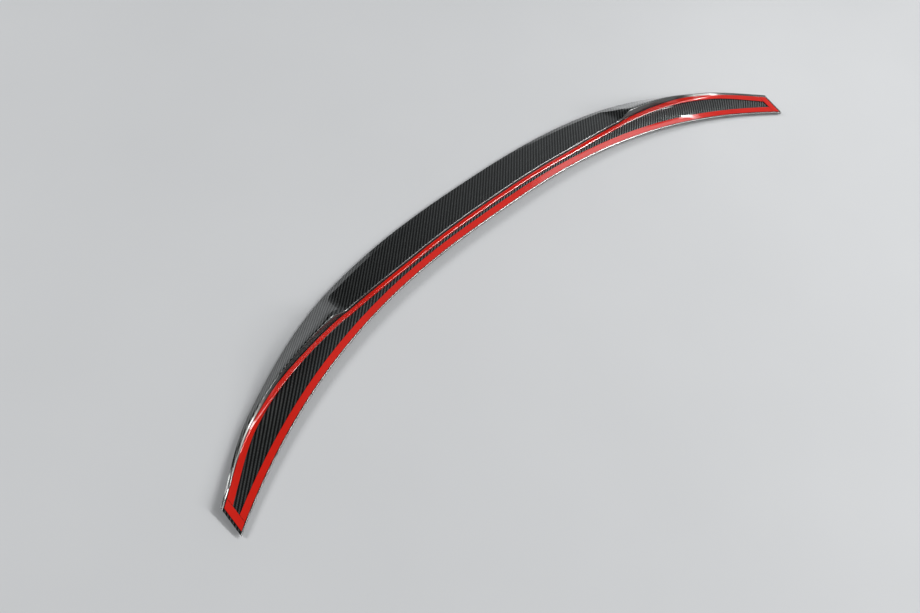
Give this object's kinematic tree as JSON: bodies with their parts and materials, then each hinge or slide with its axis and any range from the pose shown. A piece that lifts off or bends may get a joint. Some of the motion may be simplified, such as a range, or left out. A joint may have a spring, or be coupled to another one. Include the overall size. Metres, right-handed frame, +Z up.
{
  "type": "car rear spoiler",
  "caption": "Carbon-fibre lip spoiler for a car's boot lid, with a raised middle, a bowed L-shaped seat and adhesive tape under red release liner.",
  "frame": {"origin": "middle of the bounding box on the floor that the lip rests on, with the tape side up", "axes": "+X across the car, +Y towards the car's rear, where the lip is, +Z up from the floor, on the tape side"},
  "size_m": [1.24, 0.251, 0.0404],
  "materials": {
    "carbon": "carbon twill under clear gloss coat",
    "tape_foam": "closed-cell acrylic foam",
    "tape_liner": "satin release film"
  },
  "bodies": {
    "root": {"upper_skin": "carbon", "lower_skin": "carbon", "front_tape_foam": "tape_foam", "front_tape_liner": "tape_liner", "rear_tape_left_foam": "tape_foam", "rear_tape_left_liner": "tape_liner", "rear_tape_centre_foam": "tape_foam", "rear_tape_centre_liner": "tape_liner", "rear_tape_right_foam": "tape_foam", "rear_tape_right_liner": "tape_liner", "tip_tape_left_foam": "tape_foam", "tip_tape_left_liner": "tape_liner", "tip_tape_right_foam": "tape_foam", "tip_tape_right_liner": "tape_liner"}
  },
  "joints": []
}
